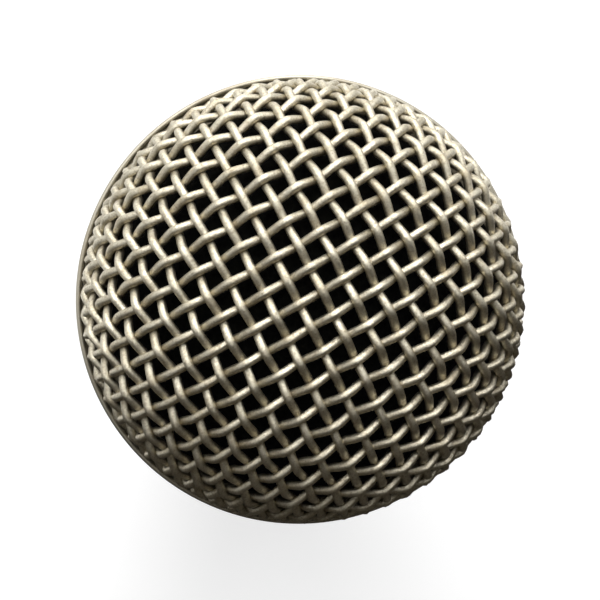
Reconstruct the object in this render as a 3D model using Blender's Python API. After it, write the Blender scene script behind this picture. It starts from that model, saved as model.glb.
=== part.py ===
"""Handheld dynamic vocal microphone with a ball grille, as separate pieces.

Metres, +Z up. The microphone stands on its tail: Z is its own axis, and the
origin is the middle of the tail's rim. Every turned piece has its origin on Z.
"""

import math

import bmesh
import bpy
from mathutils import Matrix, Vector
from mathutils.geometry import delaunay_2d_cdt

MM = 0.001

# Fits: the clearance between two pieces that seat on, or slide in, each other.
GAP = 0.3 * MM

# Sides of the turned pieces: those that show, those inside, and thin round rods.
OUTER_SIDES = 48
INNER_SIDES = 24
ROD_SIDES = 12

# Ball grille: two woven wire shells that meet in a rolled band.
OVERALL_LENGTH = 162.0 * MM
BAND_RADIUS = 25.6 * MM
BAND_WALL = 0.3 * MM
BAND_HEIGHT = 4.6 * MM
BAND_WEB = 0.8 * MM
BAND_DROP = 0.3 * MM
WIRE_DIAMETER = 0.9 * MM
DOME_HEIGHT = 19.5 * MM
SKIRT_DROP = 20.5 * MM
SKIRT_FOOT_RADIUS = 17.5 * MM
DOME_STEPS = 9
SKIRT_STEPS = 6

# Weave of the wire shells: its pitch, how the cloth lies on the forms that it is pressed
# over, how deep its gaps sink below the middle of the wires, and its plain margin.
WIRE_PITCH = 2.51 * MM
CLOTH_TURN = math.radians(29.8)
CLOTH_SKEW = math.radians(2.8)
CLOTH_SHIFT = (0.32, -0.81)
CLOTH_STEP = 1.2 * MM
CLOTH_MARGIN = 0.8 * MM
GAP_DEPTH = 0.45 * MM

# Collar that the skirt is crimped into, and the thread under it.
COLLAR_LIP_WALL = 0.6 * MM
COLLAR_LIP_HEIGHT = 2.3 * MM
COLLAR_LEDGE = 1.2 * MM
THREAD_LENGTH = 4.2 * MM
EDGE_CHAMFER = 0.4 * MM

# Foam inside the ball.
FOAM_WALL = 3.0 * MM
FOAM_STEPS = 6

# Handle: a tapered tube with a socket in its tail and a threaded spigot on top.
TAIL_RADIUS = 11.5 * MM
TAIL_LENGTH = 16.0 * MM
GRIP_RADIUS = 17.2 * MM
FLARE_LENGTH = 12.0 * MM
SHOULDER_HEIGHT = 3.0 * MM
SHOULDER_SET_BACK = 0.3 * MM
FLARE_STEPS = 6
SOCKET_RADIUS = 9.6 * MM
SOCKET_DEPTH = 15.5 * MM
BORE_RADIUS = 14.6 * MM
BORE_HEAD = 10.0 * MM

# Connector in the tail: an insulating insert with three contact pins.
INSERT_THICKNESS = 7.0 * MM
PIN_RADIUS = 1.2 * MM
PIN_CIRCLE_RADIUS = 5.1 * MM
PIN_RECESS = 2.0 * MM
PIN_TAIL = 4.5 * MM
PIN_TIP = 0.6 * MM
PIN_ANGLES = (45.0, 135.0, 270.0)
SCREW_RADIUS = 1.4 * MM
SCREW_SLOT = 0.5 * MM
TAG_WIDTH = 2.4 * MM
TAG_THICKNESS = 0.4 * MM

# Transformer in the handle: a stack of laminations round a wound bobbin.
TRANSFORMER_HEIGHT = 60.0 * MM
CORE_LEG = 2.0 * MM
CORE_WINDOW_WIDTH = 3.0 * MM
CORE_WINDOW_HEIGHT = 10.0 * MM
CORE_STACK = 9.0 * MM
BOBBIN_WALL = 0.6 * MM
CRADLE_END = 1.0 * MM

# Rubber mount that the cartridge floats in.
MOUNT_FLANGE = 2.5 * MM
MOUNT_SLEEVE = 5.0 * MM
MOUNT_WALL = 2.0 * MM

# Cartridge: housing, magnet system, diaphragm and cap.
CARTRIDGE_RADIUS = 12.0 * MM
CARTRIDGE_TAIL = 14.0 * MM
CARTRIDGE_WALL = 1.2 * MM
FLANGE_RADIUS = 13.6 * MM
FLANGE_THICKNESS = 2.5 * MM
CUP_RADIUS = 13.0 * MM
CUP_FLOOR = 2.5 * MM
PORT_RADIUS = 4.0 * MM
YOKE_HEIGHT = 5.2 * MM
YOKE_FLOOR = 1.5 * MM
YOKE_BORE = 8.0 * MM
POLE_RADIUS = 6.7 * MM
POLE_THICKNESS = 0.9 * MM
COIL_WALL = 0.55 * MM
COIL_HEIGHT = 2.6 * MM
DIAPHRAGM_WALL = 0.25 * MM
DIAPHRAGM_DOME = 2.0 * MM
DIAPHRAGM_LIFT = 0.6 * MM
DIAPHRAGM_STEPS = 5
RIM_WIDTH = 0.8 * MM
RIM_HEIGHT = 1.2 * MM
CAP_ROOM = 2.7 * MM
CAP_FRONT = 1.5 * MM
CAP_HOLE_RADIUS = 2.0 * MM
CAP_HOLE_CIRCLE = 7.0 * MM
CAP_HOLES = 6
SCREEN_THICKNESS = 0.5 * MM
FELT_THICKNESS = 0.6 * MM
END_PLATE = 1.5 * MM
LUG_WIDTH = 1.6 * MM
LUG_THICKNESS = 0.5 * MM
LUG_LENGTH = 4.0 * MM
LUG_OFFSET = 4.0 * MM

# Flexible leads between the cartridge, the transformer and the pins.
LEAD_RADIUS = 0.45 * MM
LEAD_STEPS = 12

# Places that follow from the sizes above, from the ball down to the tail.
MESH_WALL = 2 * WIRE_DIAMETER
MESH_RADIUS = BAND_RADIUS - BAND_WALL - GAP - MESH_WALL / 2
EQUATOR_Z = OVERALL_LENGTH - MESH_WALL / 2 - DOME_HEIGHT
BAND_Z = EQUATOR_Z - BAND_DROP - BAND_HEIGHT / 2
SKIRT_FOOT_Z = BAND_Z - SKIRT_DROP
SKIRT_NECK_Z = SKIRT_FOOT_Z + COLLAR_LIP_HEIGHT
SKIRT_TAPER = math.sqrt(1 - (SKIRT_FOOT_RADIUS / MESH_RADIUS) ** 2)
SKIRT_SEMI_AXIS = (BAND_Z - SKIRT_NECK_Z) / SKIRT_TAPER
LEDGE_Z = SKIRT_FOOT_Z - GAP
COLLAR_TOP = LEDGE_Z + COLLAR_LIP_HEIGHT
COLLAR_BOTTOM = LEDGE_Z - COLLAR_LEDGE - THREAD_LENGTH
COLLAR_BORE = SKIRT_FOOT_RADIUS - MESH_WALL / 2 - GAP / 2
COLLAR_LIP_BORE = SKIRT_FOOT_RADIUS + MESH_WALL / 2 + 2 * GAP
COLLAR_RADIUS = COLLAR_LIP_BORE + COLLAR_LIP_WALL
SHOULDER_Z = COLLAR_BOTTOM - GAP
SHOULDER_RADIUS = COLLAR_RADIUS - SHOULDER_SET_BACK
SPIGOT_RADIUS = COLLAR_BORE - GAP
SPIGOT_TOP = SHOULDER_Z + THREAD_LENGTH
INSERT_RADIUS = SOCKET_RADIUS - GAP
INSERT_TOP = SOCKET_DEPTH + INSERT_THICKNESS
BORE_START = INSERT_TOP + PIN_TAIL
BORE_END = SHOULDER_Z - BORE_HEAD
MOUNT_BOTTOM = SPIGOT_TOP + GAP
SEAT_Z = MOUNT_BOTTOM + MOUNT_FLANGE + GAP
CUP_FLOOR_TOP = SEAT_Z + FLANGE_THICKNESS + CUP_FLOOR - CARTRIDGE_WALL
YOKE_BOTTOM = CUP_FLOOR_TOP + GAP
YOKE_TOP = YOKE_BOTTOM + YOKE_HEIGHT
YOKE_RADIUS = CUP_RADIUS - CARTRIDGE_WALL - GAP
MAGNET_BOTTOM = YOKE_BOTTOM + YOKE_FLOOR + GAP
POLE_BOTTOM = YOKE_TOP - POLE_THICKNESS
COIL_RADIUS = POLE_RADIUS + GAP + COIL_WALL
DIAPHRAGM_Z = YOKE_TOP + GAP + DIAPHRAGM_LIFT
COIL_TOP = DIAPHRAGM_Z - GAP
RIM_TOP = YOKE_TOP + GAP + RIM_HEIGHT
CAP_BOTTOM = RIM_TOP + GAP
CAP_TOP = CAP_BOTTOM + CAP_ROOM + CAP_FRONT
CARTRIDGE_BOTTOM = SEAT_Z - CARTRIDGE_TAIL
END_PLATE_BOTTOM = CARTRIDGE_BOTTOM - GAP - END_PLATE
LUG_TOP = END_PLATE_BOTTOM - GAP
CORE_HALF_WIDTH = 2 * CORE_LEG + CORE_WINDOW_WIDTH
CORE_HALF_HEIGHT = CORE_WINDOW_HEIGHT / 2 + CORE_LEG
WINDING_OUTER = CORE_LEG + CORE_WINDOW_WIDTH - GAP
BOBBIN_INNER = CORE_LEG + GAP
WINDING_INNER = BOBBIN_INNER + BOBBIN_WALL + GAP
WINDING_DEPTH = WINDING_OUTER - CORE_LEG + CORE_STACK / 2
PIN_END = INSERT_TOP + PIN_TAIL


def clear_scene():
    for obj in list(bpy.data.objects):
        bpy.data.objects.remove(obj)


def finish_of(name, colour, roughness, metallic):
    material = bpy.data.materials.new(name)
    material.use_nodes = True
    shader = material.node_tree.nodes["Principled BSDF"]
    shader.inputs["Base Color"].default_value = (*colour, 1.0)
    shader.inputs["Roughness"].default_value = roughness
    shader.inputs["Metallic"].default_value = metallic
    return material


def add_object(name, bm, material, base=0.0):
    """A named object on the axis at height base, from a mesh in row coordinates."""
    bmesh.ops.remove_doubles(bm, verts=bm.verts, dist=GAP / 100)
    bmesh.ops.recalc_face_normals(bm, faces=bm.faces)
    bmesh.ops.translate(bm, vec=(0, 0, -base), verts=bm.verts)
    mesh = bpy.data.meshes.new(name)
    bm.to_mesh(mesh)
    bm.free()
    obj = bpy.data.objects.new(name, mesh)
    obj.location = (0, 0, base)
    bpy.context.scene.collection.objects.link(obj)
    mesh.materials.append(material)
    mesh.shade_smooth()
    mesh.set_sharp_from_angle(angle=math.radians(35))
    return obj


def turned(name, profile, material, sides):
    """A solid turned round Z from (radius, height) points. A profile that ends on
    the axis makes a solid piece, and any other closes on itself as a ring."""
    bm = bmesh.new()
    points = [bm.verts.new((radius, 0, height)) for radius, height in profile]
    on_axis = profile[0][0] == 0 and profile[-1][0] == 0
    pairs = list(zip(points, points[1:]))
    if not on_axis:
        pairs.append((points[-1], points[0]))
    edges = [bm.edges.new(pair) for pair in pairs]
    bmesh.ops.spin(bm, geom=points + edges, cent=(0, 0, 0), axis=(0, 0, 1),
                   angle=2 * math.pi, steps=sides, use_merge=True)
    return add_object(name, bm, material, base=min(height for _, height in profile))


def ring(inner, outer, bottom, top, chamfer=0.0):
    """Profile of a plain ring, with its two outer edges chamfered."""
    if not chamfer:
        return [(inner, bottom), (outer, bottom), (outer, top), (inner, top)]
    return [(inner, bottom), (outer - chamfer, bottom), (outer, bottom + chamfer),
            (outer, top - chamfer), (outer - chamfer, top), (inner, top)]


def disc(radius, bottom, top, chamfer=0.0):
    """Profile of a plain solid disc or rod, with its edges chamfered."""
    if not chamfer:
        return [(0, bottom), (radius, bottom), (radius, top), (0, top)]
    return [(0, bottom), (radius - chamfer, bottom), (radius, bottom + chamfer),
            (radius, top - chamfer), (radius - chamfer, top), (0, top)]


def block(name, size, centre, material):
    """A box of that size round a centre."""
    bm = bmesh.new()
    bmesh.ops.create_cube(bm, size=1.0, matrix=Matrix.Diagonal((*size, 1.0)))
    bmesh.ops.translate(bm, vec=centre, verts=bm.verts)
    return add_object(name, bm, material, base=centre[2])


def rod(name, radius, start, end, material, sides=ROD_SIDES):
    """A straight round rod between two points."""
    run = Vector(end) - Vector(start)
    turn = run.to_track_quat("Z", "Y").to_matrix().to_4x4()
    bm = bmesh.new()
    bmesh.ops.create_cone(bm, cap_ends=True, segments=sides, radius1=radius,
                          radius2=radius, depth=run.length, matrix=turn)
    middle = (Vector(start) + Vector(end)) / 2
    bmesh.ops.translate(bm, vec=middle, verts=bm.verts)
    return add_object(name, bm, material, base=middle.z)


def cut(obj, cutter):
    """Takes a hidden cutter out of a piece."""
    cutter.hide_render = True
    cutter.display_type = "WIRE"
    modifier = obj.modifiers.new("cut_" + cutter.name, "BOOLEAN")
    modifier.operation = "DIFFERENCE"
    modifier.object = cutter


def quarter(radius, height, steps):
    """Points of a quarter ellipse from the rim (radius, 0) up to the axis (0, height)."""
    turn = math.pi / 2 / steps
    arc = [(radius * math.cos(turn * k), height * math.sin(turn * k)) for k in range(steps)]
    return arc + [(0, height)]


def raised(points, lift):
    return [(radius, height + lift) for radius, height in points]


def skirt_radius(height):
    """Middle radius of the rear wire shell at a height: straight up to the neck above
    the collar, then swelling out to the band."""
    drop = BAND_Z - max(height, SKIRT_NECK_Z)
    return MESH_RADIUS * math.sqrt(1 - (drop / SKIRT_SEMI_AXIS) ** 2)


def bore_radius(height):
    """Radius of the handle's tapered bore."""
    share = (height - BORE_START) / (BORE_END - BORE_START)
    return SOCKET_RADIUS + (BORE_RADIUS - SOCKET_RADIUS) * min(1.0, max(0.0, share))


def pin_place(angle):
    turn = math.radians(angle)
    return PIN_CIRCLE_RADIUS * math.cos(turn), PIN_CIRCLE_RADIUS * math.sin(turn)


# The ball grille

def onto_form(point, height):
    """The place that a point looks out at on an ellipsoid as wide as the ball."""
    flat = (point.x ** 2 + point.y ** 2) / MESH_RADIUS ** 2
    return point / math.sqrt(flat + point.z ** 2 / height ** 2)


def drape(height, count):
    """A quarter of a net of equal steps laid over a form from its pole, as rows of points."""
    net = [[None] * count for _ in range(count)]
    net[0][0] = Vector((0, 0, height))
    for k in range(1, count):
        for i, j, first in ((k, 0, Vector((1, 0, 0))), (0, k, Vector((0, 1, 0)))):
            last = net[max(0, i - 1)][max(0, j - 1)]
            point = last + first if k == 1 else 2 * last - net[max(0, i - 2)][max(0, j - 2)]
            for _ in range(6):
                point = onto_form(last + (point - last).normalized() * CLOTH_STEP, height)
            net[i][j] = point
    for i in range(1, count):
        for j in range(1, count):
            point = net[i][j - 1] + net[i - 1][j] - net[i - 1][j - 1]
            for held in (net[i][j - 1], net[i - 1][j]) * 24:
                point = onto_form(held + (point - held).normalized() * CLOTH_STEP, height)
            net[i][j] = point
    return net


def on_cloth(net, height, u, v):
    """The point of a draped net at distances u and v from its pole along its two ways."""
    a, b = abs(u) / CLOTH_STEP, abs(v) / CLOTH_STEP
    i, j = int(a), int(b)
    near = net[i][j].lerp(net[i + 1][j], a - i)
    far = net[i][j + 1].lerp(net[i + 1][j + 1], a - i)
    point = onto_form(near.lerp(far, b - j), height)
    return Vector((math.copysign(point.x, u), math.copysign(point.y, v), point.z))


def cloth_points(height, lowest, highest):
    """Outer face of the woven cloth on a form, pole up, by places in half pitches: the tops
    of its crossings at odd ones, its gaps at even ones and its wires between crossings."""
    lifts = (-GAP_DEPTH, WIRE_DIAMETER / 2, WIRE_DIAMETER)
    count = int(1.7 * max(MESH_RADIUS, height) / CLOTH_STEP)
    net = drape(height, count)
    furthest = (count - 2) * CLOTH_STEP
    reach = int(2 * furthest / WIRE_PITCH)
    turn = Matrix.Rotation(CLOTH_TURN, 3, "Z")
    points = {}
    for p in range(-reach, reach + 1):
        for q in range(-reach, reach + 1):
            across = (p / 2 - CLOTH_SHIFT[0]) * WIRE_PITCH
            down = (CLOTH_SHIFT[1] - q / 2) * WIRE_PITCH
            u, v = across + down * math.sin(CLOTH_SKEW), down * math.cos(CLOTH_SKEW)
            if max(abs(u), abs(v)) >= furthest:
                continue
            point = on_cloth(net, height, u, v)
            if lowest < point.z < highest:
                out = Vector((point.x / MESH_RADIUS ** 2, point.y / MESH_RADIUS ** 2, point.z / height ** 2))
                points[p, q] = turn @ (point + out.normalized() * lifts[p % 2 + q % 2])
    return points


def unrolled(point, height):
    """Where a point of a form lies when the form is spread flat round its pole."""
    out = math.hypot(point.x, point.y)
    angle = math.atan2(out / MESH_RADIUS, point.z / height)
    return Vector((point.x, point.y)) * (angle / out)


def woven_shell(name, wire, height, rims, place, wall):
    """A wire shell whose outer face is woven cloth on a form of that height, between rims
    given as (radius, height over the form's widest line). place puts a point of the form
    into the microphone, and wall is the turned profile that closes the shell."""
    levels = [level for _, level in rims] + [2 * height]
    cloth = cloth_points(height, levels[0] + CLOTH_MARGIN, levels[1] - CLOTH_MARGIN)
    index = {key: k for k, key in enumerate(cloth)}
    points = list(cloth.values())
    edges = [(k, index[p + 1, q]) for (p, q), k in index.items() if q % 2 and (p + 1, q) in index]
    edges += [(k, index[p, q + 1]) for (p, q), k in index.items() if p % 2 and (p, q + 1) in index]
    for radius, level in rims:
        first = len(points)
        for k in range(OUTER_SIDES):
            turn = 2 * math.pi * k / OUTER_SIDES
            points.append(Vector((radius * math.cos(turn), radius * math.sin(turn), level)))
            edges.append((first + k, first + (k + 1) % OUTER_SIDES))
    hole = len(cloth) + OUTER_SIDES
    flat = [unrolled(point, height) for point in points]
    _, _, faces, origins, _, _ = delaunay_2d_cdt(flat, edges, [], 0, 1e-6)
    bm = bmesh.new()
    verts = [bm.verts.new(place(points[origin[0]])) for origin in origins]
    for face in faces:
        if min(origins[k][0] for k in face) < hole:
            bm.faces.new([verts[k] for k in face])
    profile = [bm.verts.new((radius, 0, level)) for radius, level in wall]
    lines = [bm.edges.new(pair) for pair in zip(profile, profile[1:])]
    bmesh.ops.spin(bm, geom=profile + lines, cent=(0, 0, 0), axis=(0, 0, 1),
                   angle=2 * math.pi, steps=OUTER_SIDES, use_merge=True)
    return add_object(name, bm, wire, base=min(level for _, level in wall))


def front_mesh(wire):
    """Domed wire shell. It stands straight in the band's upper groove, is widest just
    above the band's lip, and closes at the top of the ball."""
    inner, outer = MESH_RADIUS - MESH_WALL / 2, MESH_RADIUS + MESH_WALL / 2
    foot = BAND_Z + BAND_WEB / 2 + GAP
    arc = raised(quarter(inner, DOME_HEIGHT - MESH_WALL / 2, DOME_STEPS), EQUATOR_Z)
    wall = [(outer, EQUATOR_Z), (outer, foot), (inner, foot), *arc]
    return woven_shell("front_mesh", wire, DOME_HEIGHT, [(outer, 0)],
                       lambda point: point + Vector((0, 0, EQUATOR_Z)), wall)


def rear_mesh(wire):
    """Tapering wire shell, from the band's lower groove to the collar's ledge."""
    top = BAND_Z - BAND_WEB / 2 - GAP
    lip = BAND_Z - BAND_HEIGHT / 2
    heights = [top + (SKIRT_NECK_Z - top) * k / SKIRT_STEPS for k in range(SKIRT_STEPS + 1)]
    heights.append(SKIRT_FOOT_Z)
    inner = [(skirt_radius(height) - MESH_WALL / 2, height) for height in heights]
    rims = [(skirt_radius(height) + MESH_WALL / 2, height) for height in (lip, SKIRT_NECK_Z)]
    wall = [rims[0], (skirt_radius(top) + MESH_WALL / 2, top), *inner,
            (rims[1][0], SKIRT_FOOT_Z), rims[1]]
    return woven_shell("rear_mesh", wire, SKIRT_SEMI_AXIS,
                       [(radius, BAND_Z - height) for radius, height in rims],
                       lambda point: Vector((point.x, point.y, BAND_Z - point.z)), wall)


def grille_band(metal):
    """Rolled ring of H section. Each groove grips the edge of one wire shell."""
    low, high = BAND_Z - BAND_HEIGHT / 2, BAND_Z + BAND_HEIGHT / 2
    under, over = BAND_Z - BAND_WEB / 2, BAND_Z + BAND_WEB / 2
    outer_bore = BAND_RADIUS - BAND_WALL
    inner_wall = MESH_RADIUS - MESH_WALL / 2 - GAP
    inner_bore = inner_wall - BAND_WALL
    chamfer = BAND_WALL / 3
    profile = [
        (inner_bore, low), (inner_wall, low), (inner_wall, under), (outer_bore, under),
        (outer_bore, low), (BAND_RADIUS - chamfer, low), (BAND_RADIUS, low + chamfer),
        (BAND_RADIUS, high - chamfer), (BAND_RADIUS - chamfer, high), (outer_bore, high),
        (outer_bore, over), (inner_wall, over), (inner_wall, high), (inner_bore, high),
    ]
    return turned("grille_band", profile, metal, OUTER_SIDES)


def grille_collar(metal):
    """Threaded ring under the ball. The skirt stands on its ledge inside its lip."""
    chamfer = min(EDGE_CHAMFER, COLLAR_LIP_WALL / 2)
    profile = [
        (COLLAR_BORE, COLLAR_BOTTOM), (COLLAR_RADIUS - chamfer, COLLAR_BOTTOM),
        (COLLAR_RADIUS, COLLAR_BOTTOM + chamfer), (COLLAR_RADIUS, COLLAR_TOP - chamfer),
        (COLLAR_RADIUS - chamfer, COLLAR_TOP), (COLLAR_LIP_BORE, COLLAR_TOP),
        (COLLAR_LIP_BORE, LEDGE_Z), (COLLAR_BORE, LEDGE_Z),
    ]
    return turned("grille_collar", profile, metal, OUTER_SIDES)


def front_foam(foam):
    """Foam dome that lines the front wire shell."""
    radius = MESH_RADIUS - MESH_WALL / 2 - BAND_WALL - 2 * GAP
    height = DOME_HEIGHT - MESH_WALL / 2 - GAP
    outer = raised(quarter(radius, height, FOAM_STEPS), EQUATOR_Z)
    inner = raised(quarter(radius - FOAM_WALL, height - FOAM_WALL, FOAM_STEPS), EQUATOR_Z)
    return turned("front_foam", inner[::-1] + outer, foam, INNER_SIDES)


def rear_foam(foam):
    """Foam sleeve that lines the rear wire shell, up to the front foam."""
    inset = MESH_WALL / 2 + BAND_WALL + 2 * GAP
    top, foot = EQUATOR_Z - GAP, COLLAR_TOP
    heights = [top + (foot - top) * k / FOAM_STEPS for k in range(FOAM_STEPS + 1)]
    outer = [(skirt_radius(height) - inset, height) for height in heights]
    inner = [(radius - FOAM_WALL / 2, height) for radius, height in outer]
    return turned("rear_foam", outer + inner[::-1], foam, INNER_SIDES)


# The handle and its connector

def handle(metal):
    """Tapered tube: connector socket in the tail, threaded spigot at the head."""
    grip_top = SHOULDER_Z - SHOULDER_HEIGHT - FLARE_LENGTH
    flare = []
    for k in range(1, FLARE_STEPS + 1):
        ease = (1 - math.cos(math.pi * k / FLARE_STEPS)) / 2
        radius = GRIP_RADIUS + (SHOULDER_RADIUS - GRIP_RADIUS) * ease
        flare.append((radius, grip_top + FLARE_LENGTH * k / FLARE_STEPS))
    chamfer = EDGE_CHAMFER
    profile = [
        (SOCKET_RADIUS, 0), (TAIL_RADIUS - chamfer, 0), (TAIL_RADIUS, chamfer),
        (TAIL_RADIUS, TAIL_LENGTH), (GRIP_RADIUS, grip_top), *flare,
        (SHOULDER_RADIUS, SHOULDER_Z - chamfer), (SHOULDER_RADIUS - chamfer, SHOULDER_Z),
        (SPIGOT_RADIUS, SHOULDER_Z), (SPIGOT_RADIUS, SPIGOT_TOP - chamfer),
        (SPIGOT_RADIUS - chamfer, SPIGOT_TOP), (BORE_RADIUS, SPIGOT_TOP),
        (BORE_RADIUS, BORE_END), (SOCKET_RADIUS, BORE_START),
    ]
    tube = turned("handle", profile, metal, OUTER_SIDES)
    height = SOCKET_DEPTH + INSERT_THICKNESS / 2
    start, end = (0, -SOCKET_RADIUS / 2, height), (0, -2 * TAIL_RADIUS, height)
    cut(tube, rod("screw_hole", SCREW_RADIUS + GAP, start, end, metal))
    return tube


def connector_insert(plastic):
    """Insulating disc in the socket, with a hole for each contact pin."""
    profile = disc(INSERT_RADIUS, SOCKET_DEPTH, INSERT_TOP, EDGE_CHAMFER)
    insert = turned("connector_insert", profile, plastic, INNER_SIDES)
    for number, angle in enumerate(PIN_ANGLES, 1):
        x, y = pin_place(angle)
        start = (x, y, SOCKET_DEPTH - INSERT_THICKNESS)
        end = (x, y, INSERT_TOP + INSERT_THICKNESS)
        cut(insert, rod(f"pin_hole_{number}", PIN_RADIUS + GAP, start, end, plastic))
    return insert


def contact_pin(number, angle, brass):
    """Turned contact pin with a blunt tip, from the socket to its solder end."""
    profile = [(0, PIN_RECESS), (PIN_RADIUS - PIN_TIP, PIN_RECESS), (PIN_RADIUS, PIN_RECESS + PIN_TIP),
               (PIN_RADIUS, PIN_END), (0, PIN_END)]
    pin = turned(f"contact_pin_{number}", profile, brass, ROD_SIDES)
    x, y = pin_place(angle)
    pin.location.x = x
    pin.location.y = y
    return pin


def insert_screw(steel):
    """Slotted grub screw through the tail wall, which holds the insert."""
    height = SOCKET_DEPTH + INSERT_THICKNESS / 2
    inner, outer = -(INSERT_RADIUS + GAP), -(TAIL_RADIUS - GAP)
    screw = rod("insert_screw", SCREW_RADIUS, (0, inner, height), (0, outer, height), steel)
    slot_size = (3 * SCREW_RADIUS, 2 * SCREW_SLOT, SCREW_SLOT)
    cut(screw, block("screw_slot", slot_size, (0, outer, height), steel))
    return screw


def ground_tag(brass):
    """Flat tag behind the insert that earths pin one to the handle wall."""
    x, y = pin_place(PIN_ANGLES[0])
    inner = PIN_CIRCLE_RADIUS + PIN_RADIUS + GAP
    length = SOCKET_RADIUS - GAP - TAG_WIDTH / 8 - inner
    tag = block("ground_tag", (length, TAG_WIDTH, TAG_THICKNESS), (0, 0, 0), brass)
    reach = inner + length / 2
    tag.location = (x / PIN_CIRCLE_RADIUS * reach, y / PIN_CIRCLE_RADIUS * reach,
                    INSERT_TOP + GAP + TAG_THICKNESS / 2)
    tag.rotation_euler.z = math.radians(PIN_ANGLES[0])
    return tag


# The transformer

def transformer_core(steel):
    """Stack of laminations with two windows, and a leg between them."""
    size = (2 * CORE_HALF_WIDTH, CORE_STACK, 2 * CORE_HALF_HEIGHT)
    core = block("transformer_core", size, (0, 0, TRANSFORMER_HEIGHT), steel)
    for name, side in (("left_window", -1), ("right_window", 1)):
        centre = (side * (CORE_LEG + CORE_WINDOW_WIDTH / 2), 0, TRANSFORMER_HEIGHT)
        window = (CORE_WINDOW_WIDTH, 2 * CORE_STACK, CORE_WINDOW_HEIGHT)
        cut(core, block(name, window, centre, steel))
    return core


def square_tube(name, inner, outer, height, material):
    """A rectangular tube round the core's middle leg, from half sizes in X and Y."""
    centre = (0, 0, TRANSFORMER_HEIGHT)
    tube = block(name, (2 * outer[0], 2 * outer[1], height), centre, material)
    hole = (2 * inner[0], 2 * inner[1], 2 * height)
    cut(tube, block(name + "_hole", hole, centre, material))
    return tube


def transformer_bobbin(plastic):
    inner = (BOBBIN_INNER, CORE_STACK / 2 + GAP)
    outer = (BOBBIN_INNER + BOBBIN_WALL, CORE_STACK / 2 + GAP + BOBBIN_WALL)
    return square_tube("transformer_bobbin", inner, outer, CORE_WINDOW_HEIGHT - 2 * GAP, plastic)


def transformer_winding(copper):
    inner = (WINDING_INNER, CORE_STACK / 2 + BOBBIN_WALL + 2 * GAP)
    outer = (WINDING_OUTER, WINDING_DEPTH)
    return square_tube("transformer_winding", inner, outer, CORE_WINDOW_HEIGHT - 4 * GAP, copper)


def transformer_cradle(rubber):
    """Tapered plug in the bore with a cross-shaped pocket for the transformer."""
    low = TRANSFORMER_HEIGHT - CORE_HALF_HEIGHT + CRADLE_END
    high = TRANSFORMER_HEIGHT + CORE_HALF_HEIGHT - CRADLE_END
    profile = [(0, low), (bore_radius(low) - GAP, low), (bore_radius(high) - GAP, high), (0, high)]
    cradle = turned("transformer_cradle", profile, rubber, INNER_SIDES)
    centre = (0, 0, TRANSFORMER_HEIGHT)
    tall = 4 * CORE_HALF_HEIGHT
    core_pocket = (2 * (CORE_HALF_WIDTH + GAP), CORE_STACK + 2 * GAP, tall)
    coil_pocket = (2 * (WINDING_OUTER + GAP), 2 * (WINDING_DEPTH + GAP), tall)
    cut(cradle, block("core_pocket", core_pocket, centre, rubber))
    cut(cradle, block("coil_pocket", coil_pocket, centre, rubber))
    return cradle


# The cartridge and its mount

def shock_mount(rubber):
    """Rubber ring: its flange lies on the spigot, its sleeve holds the cartridge."""
    grip = CARTRIDGE_RADIUS + GAP
    profile = [
        (grip, MOUNT_BOTTOM - MOUNT_SLEEVE), (grip + MOUNT_WALL, MOUNT_BOTTOM - MOUNT_SLEEVE),
        (grip + MOUNT_WALL, MOUNT_BOTTOM), (SPIGOT_RADIUS - GAP, MOUNT_BOTTOM),
        (SPIGOT_RADIUS - GAP, MOUNT_BOTTOM + MOUNT_FLANGE), (grip, MOUNT_BOTTOM + MOUNT_FLANGE),
    ]
    return turned("shock_mount", profile, rubber, INNER_SIDES)


def cartridge_housing(plastic):
    """Moulded body: a cup for the magnet above, a rear air volume below."""
    flange_top = SEAT_Z + FLANGE_THICKNESS
    floor_bottom = CUP_FLOOR_TOP - CUP_FLOOR
    cup_bore, tail_bore = CUP_RADIUS - CARTRIDGE_WALL, CARTRIDGE_RADIUS - CARTRIDGE_WALL
    profile = [
        (tail_bore, CARTRIDGE_BOTTOM), (CARTRIDGE_RADIUS, CARTRIDGE_BOTTOM),
        (CARTRIDGE_RADIUS, SEAT_Z), (FLANGE_RADIUS, SEAT_Z), (FLANGE_RADIUS, flange_top),
        (CUP_RADIUS, flange_top), (CUP_RADIUS, RIM_TOP), (cup_bore, RIM_TOP),
        (cup_bore, CUP_FLOOR_TOP), (PORT_RADIUS, CUP_FLOOR_TOP), (PORT_RADIUS, floor_bottom),
        (tail_bore, floor_bottom),
    ]
    return turned("cartridge_housing", profile, plastic, INNER_SIDES)


def yoke_cup(steel):
    """Soft iron pot that carries the flux round to the gap, with a rear vent."""
    vent = PORT_RADIUS / 2
    profile = [
        (vent, YOKE_BOTTOM), (YOKE_RADIUS, YOKE_BOTTOM), (YOKE_RADIUS, YOKE_TOP),
        (YOKE_BORE, YOKE_TOP), (YOKE_BORE, YOKE_BOTTOM + YOKE_FLOOR), (vent, YOKE_BOTTOM + YOKE_FLOOR),
    ]
    return turned("yoke_cup", profile, steel, INNER_SIDES)


def diaphragm(film):
    """Thin dome with a rolled surround, which carries the voice coil."""
    outer_edge = YOKE_RADIUS - RIM_WIDTH - GAP
    width = outer_edge - COIL_RADIUS
    top = [(COIL_RADIUS * math.sin(math.pi / 2 * k / DIAPHRAGM_STEPS),
            DIAPHRAGM_DOME * math.cos(math.pi / 2 * k / DIAPHRAGM_STEPS)) for k in range(DIAPHRAGM_STEPS + 1)]
    top += [(COIL_RADIUS + width * k / DIAPHRAGM_STEPS,
             DIAPHRAGM_LIFT * math.sin(math.pi * k / DIAPHRAGM_STEPS)) for k in range(1, DIAPHRAGM_STEPS + 1)]
    top[DIAPHRAGM_STEPS] = (COIL_RADIUS, 0)
    top[-1] = (outer_edge, 0)
    top = raised(top, DIAPHRAGM_Z + DIAPHRAGM_WALL)
    return turned("diaphragm", top + raised(top[::-1], -DIAPHRAGM_WALL), film, INNER_SIDES)


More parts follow.
